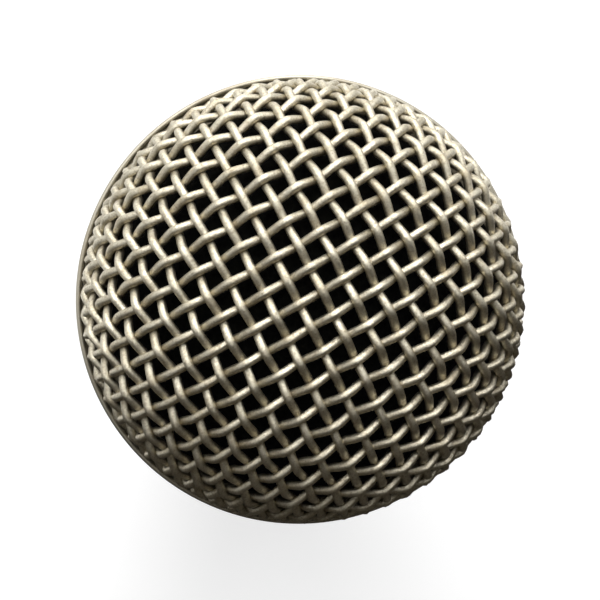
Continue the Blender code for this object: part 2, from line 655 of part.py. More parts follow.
def cartridge_cap(plastic):
    """Front cap over the diaphragm, with a ring of sound holes round a middle one."""
    profile = [
        (0, CAP_TOP - CAP_FRONT), (CUP_RADIUS - CARTRIDGE_WALL - GAP, CAP_TOP - CAP_FRONT),
        (CUP_RADIUS - CARTRIDGE_WALL - GAP, CAP_BOTTOM), (CUP_RADIUS, CAP_BOTTOM),
        (CUP_RADIUS, CAP_TOP - EDGE_CHAMFER), (CUP_RADIUS - EDGE_CHAMFER, CAP_TOP), (0, CAP_TOP),
    ]
    cap = turned("cartridge_cap", profile, plastic, INNER_SIDES)
    places = [(0.0, 0.0)]
    for k in range(CAP_HOLES):
        turn = 2 * math.pi * k / CAP_HOLES
        places.append((CAP_HOLE_CIRCLE * math.cos(turn), CAP_HOLE_CIRCLE * math.sin(turn)))
    for number, (x, y) in enumerate(places):
        start, end = (x, y, CAP_TOP - 2 * CAP_FRONT), (x, y, CAP_TOP + CAP_FRONT)
        cut(cap, rod(f"sound_hole_{number}", CAP_HOLE_RADIUS, start, end, plastic))
    return cap


def terminal_lug(number, side, brass):
    """Solder lug under the cartridge's end plate."""
    centre = (side * LUG_OFFSET, 0, LUG_TOP - LUG_LENGTH / 2)
    return block(f"terminal_lug_{number}", (LUG_WIDTH, LUG_THICKNESS, LUG_LENGTH), centre, brass)


def lead(name, start, end, sway, insulation):
    """Insulated wire that leaves straight down from its upper end, sways out to one
    side, and comes straight down on its lower end."""
    curve = bpy.data.curves.new(name, "CURVE")
    curve.dimensions = "3D"
    curve.bevel_depth = LEAD_RADIUS
    curve.bevel_resolution = 1
    curve.use_fill_caps = True
    spline = curve.splines.new("POLY")
    spline.points.add(LEAD_STEPS)
    for k, point in enumerate(spline.points):
        share = k / LEAD_STEPS
        ease = (1 - math.cos(math.pi * share)) / 2
        bow = math.sin(math.pi * share) ** 2
        x = start[0] + (end[0] - start[0]) * ease + sway[0] * bow
        y = start[1] + (end[1] - start[1]) * ease + sway[1] * bow
        z = start[2] + (end[2] - start[2]) * share
        point.co = (x, y, z, 1)
    curve.materials.append(insulation)
    obj = bpy.data.objects.new(name, curve)
    bpy.context.scene.collection.objects.link(obj)
    return obj


def leads(insulations):
    """Two leads from the cartridge to the transformer, three on to the pins."""
    above = TRANSFORMER_HEIGHT + CORE_HALF_HEIGHT + GAP
    below = TRANSFORMER_HEIGHT - CORE_HALF_HEIGHT - GAP
    for number, side in ((1, -1), (2, 1)):
        start = (side * LUG_OFFSET, 0, LUG_TOP - LUG_LENGTH - GAP)
        end = (side * (CORE_HALF_WIDTH - CORE_LEG / 2), 0, above)
        lead(f"cartridge_lead_{number}", start, end, (0, 3 * side * LEAD_RADIUS), insulations[number - 1])
    for number, angle in enumerate(PIN_ANGLES, 1):
        x, y = pin_place(angle)
        start = (x, math.copysign(CORE_STACK / 4, y), below)
        lead(f"pin_lead_{number}", start, (x, y, PIN_END + GAP), (0, 0), insulations[number + 1])


def main():
    clear_scene()
    wire = finish_of("nickel_wire", (0.55, 0.52, 0.45), 0.38, 1.0)
    nickel = finish_of("nickel_band", (0.60, 0.57, 0.50), 0.32, 1.0)
    paint = finish_of("grey_paint", (0.065, 0.067, 0.070), 0.55, 0.2)
    foam = finish_of("black_foam", (0.012, 0.012, 0.013), 0.95, 0.0)
    black = finish_of("black_plastic", (0.020, 0.020, 0.022), 0.45, 0.0)
    rubber = finish_of("rubber", (0.025, 0.025, 0.026), 0.75, 0.0)
    brass = finish_of("tinned_brass", (0.72, 0.68, 0.58), 0.30, 1.0)
    steel = finish_of("steel", (0.45, 0.45, 0.46), 0.40, 1.0)
    magnet = finish_of("magnet", (0.30, 0.30, 0.32), 0.35, 1.0)
    copper = finish_of("copper_wire", (0.62, 0.28, 0.14), 0.35, 1.0)
    film = finish_of("clear_film", (0.80, 0.74, 0.56), 0.25, 0.0)
    felt = finish_of("felt", (0.16, 0.16, 0.15), 0.95, 0.0)
    insulations = [finish_of("lead_" + name, colour, 0.5, 0.0) for name, colour in (
        ("blue", (0.03, 0.07, 0.35)), ("green", (0.03, 0.25, 0.07)), ("black", (0.02, 0.02, 0.02)),
        ("red", (0.45, 0.03, 0.03)), ("yellow", (0.60, 0.45, 0.05)))]

    front_mesh(wire)
    rear_mesh(wire)
    grille_band(nickel)
    grille_collar(nickel)
    front_foam(foam)
    rear_foam(foam)

    handle(paint)
    connector_insert(black)
    for number, angle in enumerate(PIN_ANGLES, 1):
        contact_pin(number, angle, brass)
    insert_screw(steel)
    ground_tag(brass)

    transformer_core(steel)
    transformer_bobbin(black)
    transformer_winding(copper)
    transformer_cradle(rubber)

    shock_mount(rubber)
    cartridge_housing(black)
    yoke_cup(steel)
    turned("magnet", disc(POLE_RADIUS - GAP, MAGNET_BOTTOM, POLE_BOTTOM - GAP), magnet, INNER_SIDES)
    turned("pole_piece", disc(POLE_RADIUS, POLE_BOTTOM, YOKE_TOP), steel, INNER_SIDES)
    coil = ring(POLE_RADIUS + GAP, COIL_RADIUS, COIL_TOP - COIL_HEIGHT, COIL_TOP)
    turned("voice_coil", coil, copper, INNER_SIDES)
    diaphragm(film)
    rim = ring(YOKE_RADIUS - RIM_WIDTH, YOKE_RADIUS, YOKE_TOP + GAP, RIM_TOP)
    turned("diaphragm_rim", rim, steel, INNER_SIDES)
    cartridge_cap(black)
    screen = disc(CUP_RADIUS - CARTRIDGE_WALL, CAP_TOP + GAP, CAP_TOP + GAP + SCREEN_THICKNESS)
    turned("cap_screen", screen, felt, INNER_SIDES)
    floor_bottom = CUP_FLOOR_TOP - CUP_FLOOR
    port_felt = disc(PORT_RADIUS + CUP_FLOOR, floor_bottom - GAP - FELT_THICKNESS, floor_bottom - GAP)
    turned("port_felt", port_felt, felt, INNER_SIDES)
    end_plate = disc(CARTRIDGE_RADIUS, END_PLATE_BOTTOM, END_PLATE_BOTTOM + END_PLATE)
    turned("end_plate", end_plate, black, INNER_SIDES)
    for number, side in ((1, -1), (2, 1)):
        terminal_lug(number, side, brass)
    leads(insulations)


main()
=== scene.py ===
"""Finished look of a handheld dynamic microphone with a woven wire ball grille.

Metres, +Z up: the microphone stands on its tail, and the camera looks down at its ball.
"""

import math

import bpy
from mathutils import Matrix, Vector


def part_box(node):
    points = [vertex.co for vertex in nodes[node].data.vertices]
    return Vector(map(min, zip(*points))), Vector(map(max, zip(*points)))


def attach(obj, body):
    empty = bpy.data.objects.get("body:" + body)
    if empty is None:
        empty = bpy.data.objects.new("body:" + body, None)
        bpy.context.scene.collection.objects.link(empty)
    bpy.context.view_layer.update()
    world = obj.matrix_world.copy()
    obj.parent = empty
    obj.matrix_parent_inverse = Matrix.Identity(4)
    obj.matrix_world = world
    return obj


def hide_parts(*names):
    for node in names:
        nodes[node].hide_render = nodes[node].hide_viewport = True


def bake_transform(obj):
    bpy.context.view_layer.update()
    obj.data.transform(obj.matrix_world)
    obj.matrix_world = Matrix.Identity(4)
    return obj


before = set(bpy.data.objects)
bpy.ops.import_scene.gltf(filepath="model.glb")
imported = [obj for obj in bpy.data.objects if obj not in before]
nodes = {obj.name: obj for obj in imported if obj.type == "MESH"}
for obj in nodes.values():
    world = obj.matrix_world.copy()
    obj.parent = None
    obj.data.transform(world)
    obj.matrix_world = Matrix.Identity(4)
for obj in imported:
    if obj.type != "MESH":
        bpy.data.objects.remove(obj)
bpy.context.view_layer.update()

# Handle: a tapered die-cast tube, sprayed with a matt dark grey enamel that has a fine
# pebbled skin. The paint is rubbed through to bare metal on the edges of the tail and
# the shoulder, and the spigot that the ball screws onto is left bare.
MM = 0.001
TURNED_SIDES = 128
ROUND_STEPS = 3
SHARP_EDGE = math.radians(30)
SMOOTH_EDGE = math.radians(40)
WELD = 0.002 * MM


class Shade:
    """A shader socket that takes part in Python arithmetic through Math nodes."""

    def __init__(self, nodes_of, socket):
        self.nodes_of = nodes_of
        self.socket = socket

    def maths(self, operation, first, second):
        return self.nodes_of.add("ShaderNodeMath", {"operation": operation}, {0: first, 1: second})

    def __add__(self, other):
        return self.maths("ADD", self, other)

    def __sub__(self, other):
        return self.maths("SUBTRACT", self, other)

    def __rsub__(self, other):
        return self.maths("SUBTRACT", other, self)

    def __mul__(self, other):
        return self.maths("MULTIPLY", self, other)

    __radd__ = __add__
    __rmul__ = __mul__


class ShaderNodes:
    """A node tree that is filled one node at a time."""

    def __init__(self, tree):
        self.tree = tree

    def add(self, kind, settings, sockets, out=0):
        node = self.tree.nodes.new(kind)
        for setting, value in settings.items():
            setattr(node, setting, value)
        for socket, value in sockets.items():
            self.link(node.inputs[socket], value)
        return Shade(self, node.outputs[out])

    def link(self, socket, value):
        if isinstance(value, Shade):
            self.tree.links.new(value.socket, socket)
        else:
            socket.default_value = value


class Finish(ShaderNodes):
    """A Principled material, with the patterns that this microphone's finishes share."""

    def __init__(self, name, **fixed):
        self.material = bpy.data.materials.new(name)
        self.material.use_nodes = True
        super().__init__(self.material.node_tree)
        self.shader = self.tree.nodes["Principled BSDF"]
        self.use(**fixed)

    def use(self, **sockets):
        for socket, value in sockets.items():
            self.link(self.shader.inputs[socket.replace("_", " ").title()], value)

    def place(self, kind="Object", stretch=(1, 1, 1)):
        place = self.add("ShaderNodeTexCoord", {}, {}, kind)
        return self.add("ShaderNodeMapping", {}, {"Vector": place, "Scale": stretch})

    def noise(self, scale, detail=3.0, kind="Object", stretch=(1, 1, 1)):
        sockets = {"Vector": self.place(kind, stretch), "Scale": scale, "Detail": detail}
        return self.add("ShaderNodeTexNoise", {}, sockets, "Fac")

    def cells(self, scale):
        sockets = {"Vector": self.place(), "Scale": scale}
        return self.add("ShaderNodeTexVoronoi", {}, sockets, "Distance")

    def bands(self, direction, scale, distortion):
        sockets = {"Vector": self.place(), "Scale": scale, "Distortion": distortion}
        return self.add("ShaderNodeTexWave", {"bands_direction": direction}, sockets, "Fac")

    def between(self, value, low, high):
        """0 below low, 1 above high, and a straight rise between them."""
        sockets = {"Value": value, "From Min": low, "From Max": high}
        return self.add("ShaderNodeMapRange", {"clamp": True}, sockets, "Result")

    def mix(self, share, first, second):
        sockets = {"Factor": share, 6: first, 7: second}
        return self.add("ShaderNodeMix", {"data_type": "RGBA"}, sockets, 2)

    def bump(self, height, strength, distance):
        sockets = {"Height": height, "Strength": strength, "Distance": distance}
        return self.add("ShaderNodeBump", {}, sockets, "Normal")

    def height(self):
        """Height along the microphone's axis, in metres."""
        place = self.add("ShaderNodeTexCoord", {}, {}, "Object")
        return self.add("ShaderNodeSeparateXYZ", {}, {"Vector": place}, "Z")

    def radius(self):
        """Distance from the microphone's axis, in metres."""
        flat = self.place(stretch=(1, 1, 0))
        return self.add("ShaderNodeVectorMath", {"operation": "LENGTH"}, {0: flat}, "Value")


def put_on(piece, finish):
    piece.data.materials.clear()
    piece.data.materials.append(finish.material)


def turn(name, profile, sides=TURNED_SIDES, round_off=0.0):
    """A piece turned on the Z axis from the (radius, height) corners of its closed
    section, with its sharp edges rounded off."""
    bpy.ops.object.select_all(action="DESELECT")
    bpy.ops.mesh.primitive_circle_add(vertices=len(profile), radius=1)
    piece = bpy.context.object
    piece.name = name
    piece.data.name = name
    for vertex, (radius, height) in zip(piece.data.vertices, profile):
        vertex.co = (radius, 0, height)
    bpy.ops.object.mode_set(mode="EDIT")
    bpy.ops.mesh.select_all(action="SELECT")
    bpy.ops.mesh.spin(steps=sides, angle=2 * math.pi, center=(0, 0, 0), axis=(0, 0, 1))
    bpy.ops.mesh.select_all(action="SELECT")
    bpy.ops.mesh.remove_doubles(threshold=WELD)
    bpy.ops.mesh.normals_make_consistent(inside=False)
    bpy.ops.object.mode_set(mode="OBJECT")
    if round_off:
        bevel = piece.modifiers.new("round_off", "BEVEL")
        bevel.width = round_off
        bevel.segments = ROUND_STEPS
        bevel.limit_method = "ANGLE"
        bevel.angle_limit = SHARP_EDGE
        bpy.ops.object.modifier_apply(modifier=bevel.name)
    bpy.ops.object.shade_smooth_by_angle(angle=SMOOTH_EDGE)
    return piece


def belongs(piece, body, slot, *replaced):
    """Puts a piece on the body it rides on and hides the nodes it stands for; slot is not used."""
    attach(piece, body)
    if replaced:
        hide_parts(*replaced)


FIT = 0.3 * MM
THREAD_LENGTH = 4.2 * MM
SPIGOT_RADIUS = 16.15 * MM
SPIGOT_BORE = 14.6 * MM
SPIGOT_DEPTH = 10.0 * MM
TAIL_RADIUS = 11.5 * MM
TAIL_LENGTH = 16.0 * MM
SOCKET_RADIUS = 9.6 * MM
BORE_START = 27.0 * MM
GRIP_RADIUS = 17.2 * MM
TAPER_STEPS = 8
FLARE_LENGTH = 12.0 * MM
FLARE_STEPS = 12
SHOULDER_HEIGHT = 3.0 * MM
GROOVE_DEPTH = 0.35 * MM
GROOVE_EDGES = (1.5 * MM, 0.8 * MM)
GROOVE_FLOOR = (1.3 * MM, 1.0 * MM)
HANDLE_EDGE = 0.25 * MM
_, handle_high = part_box("handle")
collar_low, collar_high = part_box("grille_collar")
shoulder_z = collar_low.z - FIT
shoulder_radius = handle_high.x
spigot_top = shoulder_z + THREAD_LENGTH
grip_top = shoulder_z - SHOULDER_HEIGHT - FLARE_LENGTH
groove_radius = shoulder_radius - GROOVE_DEPTH

section = [(SOCKET_RADIUS, 0), (TAIL_RADIUS, 0), (TAIL_RADIUS, TAIL_LENGTH)]
for k in range(1, TAPER_STEPS + 1):
    share = k / TAPER_STEPS
    taper_radius = TAIL_RADIUS + (GRIP_RADIUS - TAIL_RADIUS) * share
    section.append((taper_radius, TAIL_LENGTH + (grip_top - TAIL_LENGTH) * share))
for k in range(1, FLARE_STEPS + 1):
    ease = (1 - math.cos(math.pi * k / FLARE_STEPS)) / 2
    flare_radius = GRIP_RADIUS + (shoulder_radius - GRIP_RADIUS) * ease
    section.append((flare_radius, grip_top + FLARE_LENGTH * k / FLARE_STEPS))
section += [
    (shoulder_radius, shoulder_z - GROOVE_EDGES[0]), (groove_radius, shoulder_z - GROOVE_FLOOR[0]),
    (groove_radius, shoulder_z - GROOVE_FLOOR[1]), (shoulder_radius, shoulder_z - GROOVE_EDGES[1]),
    (shoulder_radius, shoulder_z), (SPIGOT_RADIUS, shoulder_z), (SPIGOT_RADIUS, spigot_top),
    (SPIGOT_BORE, spigot_top), (SPIGOT_BORE, shoulder_z - SPIGOT_DEPTH), (SOCKET_RADIUS, BORE_START),
]
handle_tube = turn("handle_tube", section, round_off=HANDLE_EDGE)
HOLE_RADIUS = 1.7 * MM
HOLE_SIDES = 48
screw_low, screw_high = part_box("insert_screw")
bpy.ops.object.select_all(action="DESELECT")
bpy.ops.mesh.primitive_cylinder_add(
    vertices=HOLE_SIDES, radius=HOLE_RADIUS, depth=2 * TAIL_RADIUS, rotation=(math.radians(90), 0, 0),
    location=(0, -TAIL_RADIUS - SOCKET_RADIUS / 2, (screw_low.z + screw_high.z) / 2))
drill = bpy.context.object
screw_hole = handle_tube.modifiers.new("screw_hole", "BOOLEAN")
screw_hole.object = drill
bpy.context.view_layer.objects.active = handle_tube
bpy.ops.object.modifier_apply(modifier=screw_hole.name)
bpy.data.objects.remove(drill)

enamel = Finish("grey_enamel", metallic=0.0, coat_roughness=0.35)
height = enamel.height()
radius = enamel.radius()
pebbles = enamel.noise(1300.0, 2.0)
dust = enamel.noise(5200.0, 2.0)
blotches = enamel.noise(55.0, 4.0)
chips = enamel.noise(1100.0, 5.0)
tail_end = 1 - enamel.between(height, 0.1 * MM, 0.5 * MM)
tail_rim = enamel.between(radius, TAIL_RADIUS - 0.7 * MM, TAIL_RADIUS - 0.2 * MM)
tail_rub = tail_end * tail_rim
top_rub = enamel.between(height, shoulder_z - 0.6 * MM, shoulder_z - 0.05 * MM)
worn = enamel.between(chips + 0.30 * tail_rub + 0.20 * top_rub, 0.76, 0.80)
spigot = enamel.between(height, shoulder_z + 0.02 * MM, shoulder_z + 0.1 * MM)
bare = worn.maths("MAXIMUM", worn, spigot)
flecks = enamel.between(dust, 0.66, 0.74)
paint = enamel.mix(blotches, (0.036, 0.037, 0.040, 1), (0.054, 0.055, 0.058, 1))
speckled = enamel.mix(0.5 * flecks, paint, (0.12, 0.12, 0.125, 1))
enamel.use(
    base_color=enamel.mix(bare, speckled, (0.50, 0.49, 0.47, 1)),
    metallic=bare,
    roughness=0.50 + 0.12 * blotches - 0.18 * bare,
    coat_weight=0.25 * (1 - bare),
    normal=enamel.bump((pebbles + 0.35 * dust) * (1 - bare), 0.7, 0.12 * MM),
)
put_on(handle_tube, enamel)
belongs(handle_tube, "handle", "grey_paint", "handle")

# Thread on the spigot: a shallow rounded ridge cut in the bare casting, which the collar
# screws onto. It climbs one pitch for each turn and stops short of both ends.
THREAD_PITCH = 1.25 * MM
THREAD_RIDGE = 0.2 * MM
THREAD_STEPS = 64


def wire_piece(name, paths, radius, bevel_rings=2):
    """One mesh of round wires that follow those paths."""
    bpy.ops.object.select_all(action="DESELECT")
    curve = bpy.data.curves.new(name, "CURVE")
    curve.dimensions = "3D"
    curve.bevel_depth = radius
    curve.bevel_resolution = bevel_rings
    curve.use_fill_caps = True
    for path in paths:
        spline = curve.splines.new("POLY")
        spline.points.add(len(path) - 1)
        for place, point in zip(spline.points, path):
            place.co = (*point, 1)
    piece = bpy.data.objects.new(name, curve)
    bpy.context.scene.collection.objects.link(piece)
    piece.select_set(True)
    bpy.context.view_layer.objects.active = piece
    bpy.ops.object.convert(target="MESH")
    return bpy.context.object


thread_stop = 2 * THREAD_RIDGE
thread_turns = (THREAD_LENGTH - 2 * thread_stop) / THREAD_PITCH
thread_path = []
for k in range(int(thread_turns * THREAD_STEPS) + 1):
    turned_by = 2 * math.pi * k / THREAD_STEPS
    climb = shoulder_z + thread_stop + THREAD_PITCH * k / THREAD_STEPS
    ridge_x = SPIGOT_RADIUS * math.cos(turned_by)
    ridge_y = SPIGOT_RADIUS * math.sin(turned_by)
    thread_path.append((ridge_x, ridge_y, climb))
spigot_thread = wire_piece("spigot_thread", [thread_path], THREAD_RIDGE, 1)
bare_casting = Finish("bare_casting", metallic=1.0)
casting_grain = bare_casting.noise(700.0)
bare_casting.use(
    base_color=bare_casting.mix(casting_grain, (0.42, 0.41, 0.40, 1), (0.56, 0.55, 0.53, 1)),
    roughness=0.28 + 0.20 * casting_grain,
)
put_on(spigot_thread, bare_casting)
belongs(spigot_thread, "handle", "grey_paint")

# Connector in the tail: a moulded black insert with three turned and tinned brass pins.
# A slotted steel grub screw through the tail wall holds the insert, and a flat tinned
# tag earths the first pin to the tube.
black_moulding = Finish("black_moulding")
moulding_grain = black_moulding.noise(2600.0, 2.0)
moulding_cloud = black_moulding.noise(120.0)
black_moulding.use(
    base_color=black_moulding.mix(moulding_cloud, (0.014, 0.014, 0.015, 1), (0.026, 0.026, 0.028, 1)),
    roughness=0.38 + 0.16 * moulding_grain,
    normal=black_moulding.bump(moulding_grain, 0.2, 0.02 * MM),
)
tinned_brass = Finish("tinned_brass", metallic=1.0)
lathe_lines = tinned_brass.noise(500.0, 2.0, stretch=(1, 1, 14))
tin_dulling = tinned_brass.between(tinned_brass.noise(300.0, 4.0), 0.48, 0.72)
tinned_brass.use(
    base_color=tinned_brass.mix(tin_dulling, (0.74, 0.71, 0.64, 1), (0.52, 0.46, 0.34, 1)),
    roughness=0.18 + 0.22 * tin_dulling + 0.08 * lathe_lines,
    normal=tinned_brass.bump(lathe_lines, 0.12, 0.02 * MM),
)
plain_steel = Finish("plain_steel", metallic=1.0)
steel_grain = plain_steel.noise(900.0, 3.0, stretch=(1, 1, 6))
plain_steel.use(
    base_color=plain_steel.mix(steel_grain, (0.36, 0.36, 0.37, 1), (0.52, 0.52, 0.53, 1)),
    roughness=0.28 + 0.20 * steel_grain,
    normal=plain_steel.bump(steel_grain, 0.1, 0.02 * MM),
)
put_on(nodes["connector_insert"], black_moulding)
put_on(nodes["insert_screw"], plain_steel)
put_on(nodes["ground_tag"], tinned_brass)
for number in (1, 2, 3):
    put_on(nodes[f"contact_pin_{number}"], tinned_brass)

# Transformer in the handle: a stack of thin steel laminations, and enamelled copper wound
# on a black bobbin. A tapered rubber plug holds it in the bore.
laminations = Finish("laminations", metallic=1.0)
sheet_edges = laminations.bands("Y", 480.0, 0.3)
sheet_rust = laminations.between(laminations.noise(350.0, 4.0), 0.55, 0.75)
laminations.use(
    base_color=laminations.mix(sheet_rust, (0.40, 0.40, 0.41, 1), (0.26, 0.20, 0.15, 1)),
    roughness=0.40 + 0.25 * sheet_rust,
    normal=laminations.bump(sheet_edges, 0.5, 0.05 * MM),
)
copper_winding = Finish("copper_winding", metallic=1.0, coat_weight=0.6, coat_roughness=0.2)
copper_turns = copper_winding.bands("Z", 1300.0, 0.4)
copper_winding.use(
    base_color=copper_winding.mix(copper_turns, (0.36, 0.13, 0.05, 1), (0.66, 0.29, 0.14, 1)),
    roughness=0.30 + 0.15 * copper_turns,
    normal=copper_winding.bump(copper_turns, 0.6, 0.05 * MM),
)
mount_rubber = Finish("mount_rubber")
rubber_bloom = mount_rubber.noise(220.0, 4.0)
rubber_skin = mount_rubber.noise(3200.0, 2.0)
mount_rubber.use(
    base_color=mount_rubber.mix(rubber_bloom, (0.016, 0.016, 0.017, 1), (0.040, 0.040, 0.041, 1)),
    roughness=0.62 + 0.25 * rubber_bloom,
    normal=mount_rubber.bump(rubber_skin, 0.25, 0.03 * MM),
)
put_on(nodes["transformer_core"], laminations)
put_on(nodes["transformer_bobbin"], black_moulding)
put_on(nodes["transformer_winding"], copper_winding)
put_on(nodes["transformer_cradle"], mount_rubber)

# Leads: thin stranded wires in coloured sleeves, two down from the cartridge to the
# transformer and three on from there to the pins. The upper two have some slack, so
# that they give as the cartridge moves in its mount.
LEAD_RADIUS = 0.45 * MM
LEAD_STEPS = 24
LEAD_COLOURS = {
    "cartridge_lead_1": (0.03, 0.07, 0.35),
    "cartridge_lead_2": (0.03, 0.25, 0.07),
    "pin_lead_1": (0.02, 0.02, 0.02),
    "pin_lead_2": (0.45, 0.03, 0.03),
    "pin_lead_3": (0.60, 0.45, 0.05),
}
SLEEVE_FADE = 0.75
SLEEVE_DUST = 0.02
lead_sleeves = {}
for name, colour in LEAD_COLOURS.items():
    sleeve = Finish("sleeve_" + name)
    sleeve_handling = sleeve.noise(260.0, 3.0)
    faded = tuple(SLEEVE_FADE * share + SLEEVE_DUST for share in colour)
    sleeve.use(
        base_color=sleeve.mix(sleeve_handling, (*colour, 1), (*faded, 1)),
        roughness=0.35 + 0.25 * sleeve_handling,
    )
    lead_sleeves[name] = sleeve
for name in ("pin_lead_1", "pin_lead_2", "pin_lead_3"):
    put_on(nodes[name], lead_sleeves[name])
for number, side, slot in ((1, -1, "lead_blue"), (2, 1, "lead_green")):
    node = f"cartridge_lead_{number}"
    lug_low, lug_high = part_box(f"terminal_lug_{number}")
    lead_low, lead_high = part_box(node)
    top_x = (lug_low.x + lug_high.x) / 2
    foot_x = (lead_high.x if side > 0 else lead_low.x) - side * LEAD_RADIUS
    sway = (lead_high.y if side > 0 else lead_low.y) - side * LEAD_RADIUS
    route = []
    for k in range(LEAD_STEPS + 1):
        share = k / LEAD_STEPS
        ease = (1 - math.cos(math.pi * share)) / 2
        bow = math.sin(math.pi * share) ** 2
        fall = (lead_low.z - lead_high.z) * share
        route.append((top_x + (foot_x - top_x) * ease, sway * bow, lead_high.z + fall))
    slack_lead = wire_piece(f"slack_lead_{number}", [route], LEAD_RADIUS)
    put_on(slack_lead, lead_sleeves[node])
    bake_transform(slack_lead)
    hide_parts(node)

# Shock mount: a soft moulded rubber ring. Its flange lies on the spigot, and the raised
# seat on it squeezes under the flange of the cartridge. Its ribbed sleeve keeps the
# cartridge clear of the handle's bore.
MOUNT_FLANGE = 2.5 * MM
MOUNT_LIP = 1.2 * MM
MOUNT_SEAT = 13.8 * MM
MOUNT_BORE = 12.3 * MM
MOUNT_WALL = 2.0 * MM
MOUNT_RIBS = 3
RIB_DEPTH = 0.7 * MM
MOUNT_EDGE = 0.15 * MM
mount_low, mount_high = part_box("shock_mount")
flange_z = mount_high.z - MOUNT_FLANGE
rib_step = (flange_z - mount_low.z) / MOUNT_RIBS
rib_radius = MOUNT_BORE + MOUNT_WALL
dip_radius = rib_radius - RIB_DEPTH
mount_section = [(MOUNT_BORE, mount_low.z)]
for k in range(MOUNT_RIBS):
    foot = mount_low.z + k * rib_step
    mount_section += [(rib_radius, foot), (rib_radius, foot + rib_step / 2)]
    mount_section += [(dip_radius, foot + rib_step / 2), (dip_radius, foot + rib_step)]
mount_section += [
    (mount_high.x, flange_z), (mount_high.x, flange_z + MOUNT_LIP),
    (MOUNT_SEAT, flange_z + MOUNT_LIP), (MOUNT_SEAT, mount_high.z), (MOUNT_BORE, mount_high.z),
]
rubber_mount = turn("rubber_mount", mount_section, round_off=MOUNT_EDGE)
put_on(rubber_mount, mount_rubber)
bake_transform(rubber_mount)
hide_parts("shock_mount")

# Cartridge: a moulded body round a plated magnet between a soft iron pole and pot. A thin
# clear film dome carries the copper coil in the gap, under a pierced cap with a cloth on
# it. Felt damps the rear port, and two tinned lugs take the leads.
magnet_plate = Finish("magnet_plate", metallic=1.0)
plate_cloud = magnet_plate.noise(260.0, 4.0)
magnet_plate.use(
    base_color=magnet_plate.mix(plate_cloud, (0.26, 0.26, 0.28, 1), (0.38, 0.38, 0.40, 1)),
    roughness=0.20 + 0.18 * plate_cloud,
)
dome_film = Finish("dome_film", coat_weight=0.4, coat_roughness=0.1)
film_sheen = dome_film.noise(180.0, 2.0)
dome_film.use(
    base_color=dome_film.mix(film_sheen, (0.72, 0.65, 0.47, 1), (0.84, 0.79, 0.63, 1)),
    roughness=0.16 + 0.14 * film_sheen,
)
grey_felt = Finish("grey_felt")
felt_hair = grey_felt.noise(1800.0, 5.0, stretch=(1, 3, 1))
grey_felt.use(
    base_color=grey_felt.mix(felt_hair, (0.08, 0.08, 0.075, 1), (0.24, 0.24, 0.22, 1)),
    roughness=0.85 + 0.15 * felt_hair,
    normal=grey_felt.bump(felt_hair, 0.8, 0.1 * MM),
)
CARTRIDGE_FINISHES = {
    "cartridge_housing": black_moulding,
    "cartridge_cap": black_moulding,
    "end_plate": black_moulding,
    "yoke_cup": plain_steel,
    "pole_piece": plain_steel,
    "diaphragm_rim": plain_steel,
    "magnet": magnet_plate,
    "voice_coil": copper_winding,
    "diaphragm": dome_film,
    "cap_screen": grey_felt,
    "port_felt": grey_felt,
    "terminal_lug_1": tinned_brass,
    "terminal_lug_2": tinned_brass,
}
for name, finish in CARTRIDGE_FINISHES.items():
    put_on(nodes[name], finish)

# Foam inside the ball: open-celled black foam, cut and moulded to a dome behind the front
# wires and a sleeve behind the rear wires, which the dome's edge tucks into. Its pores show
# as a rough dark skin. Its colour is near zero, darker than the foam itself, as painted shade
# for the deep gaps between the wires.
FOAM_ROWS = 24
FOAM_SIDES = 160
FOAM_PORES = 0.25 * MM
PORE_SIZE = 0.9 * MM
WIRE = 0.90 * MM
band_low, band_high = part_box("grille_band")
front_low, front_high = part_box("front_mesh")
rear_low, rear_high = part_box("rear_mesh")
band_z = (band_low.z + band_high.z) / 2
foam_dome_low, foam_dome_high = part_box("front_foam")
foam_sleeve_low, foam_sleeve_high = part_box("rear_foam")
equator_z = foam_dome_low.z
shell_radius = front_high.x - WIRE
dome_height = foam_dome_high.z - equator_z + WIRE + FIT
SKIRT_FOOT = 17.5 * MM
NECK_RISE = 2.3 * MM
FOAM_WALL = 3.0 * MM
SLEEVE_WALL = 1.5 * MM
FOAM_TUCK = 2.0 * MM
neck_z = rear_low.z + NECK_RISE
skirt_semi = (band_z - neck_z) / math.sqrt(1 - (SKIRT_FOOT / shell_radius) ** 2)


def skirt_radius(height):
    """Middle radius of the rear wire shell: straight up to its neck, then swelling out."""
    drop = band_z - max(height, neck_z)
    return shell_radius * math.sqrt(1 - (drop / skirt_semi) ** 2)


def foam_piece(name, section):
    """A turned foam lining whose skin is broken up by pores."""
    piece = turn(name, section, FOAM_SIDES)
    pores = bpy.data.textures.new(name + "_pores", "CLOUDS")
    pores.noise_scale = PORE_SIZE
    pores.noise_depth = 2
    displace = piece.modifiers.new("pores", "DISPLACE")
    displace.texture = pores
    displace.texture_coords = "LOCAL"
    displace.strength = 2 * FOAM_PORES
    displace.mid_level = 1.0
    bpy.ops.object.modifier_apply(modifier=displace.name)
    return piece


foam_radius = foam_dome_high.x
foam_height = foam_dome_high.z - equator_z
dome_section = []
for wall in (0, FOAM_WALL):
    side = []
    for k in range(FOAM_ROWS + 1):
        a = math.pi / 2 * k / FOAM_ROWS
        rise = (foam_height - wall) * math.sin(a)
        side.append(((foam_radius - wall) * math.cos(a), equator_z + rise))
    side[-1] = (0, side[-1][1])
    dome_section += side if wall == 0 else side[::-1]
tuck_radius = foam_sleeve_high.x - SLEEVE_WALL - FIT
tuck_z = equator_z - FOAM_TUCK
dome_section += [(foam_radius - FOAM_WALL, tuck_z), (tuck_radius, tuck_z), (tuck_radius, equator_z)]
foam_dome = foam_piece("foam_dome", dome_section)
sleeve_inset = skirt_radius(band_z) - foam_sleeve_high.x
sleeve_section = []
for wall in (0, SLEEVE_WALL):
    rise = foam_sleeve_high.z - foam_sleeve_low.z
    rows = [foam_sleeve_high.z - rise * k / FOAM_ROWS for k in range(FOAM_ROWS + 1)]
    side = [(skirt_radius(row) - sleeve_inset - wall, row) for row in rows]
    sleeve_section += side if wall == 0 else side[::-1]
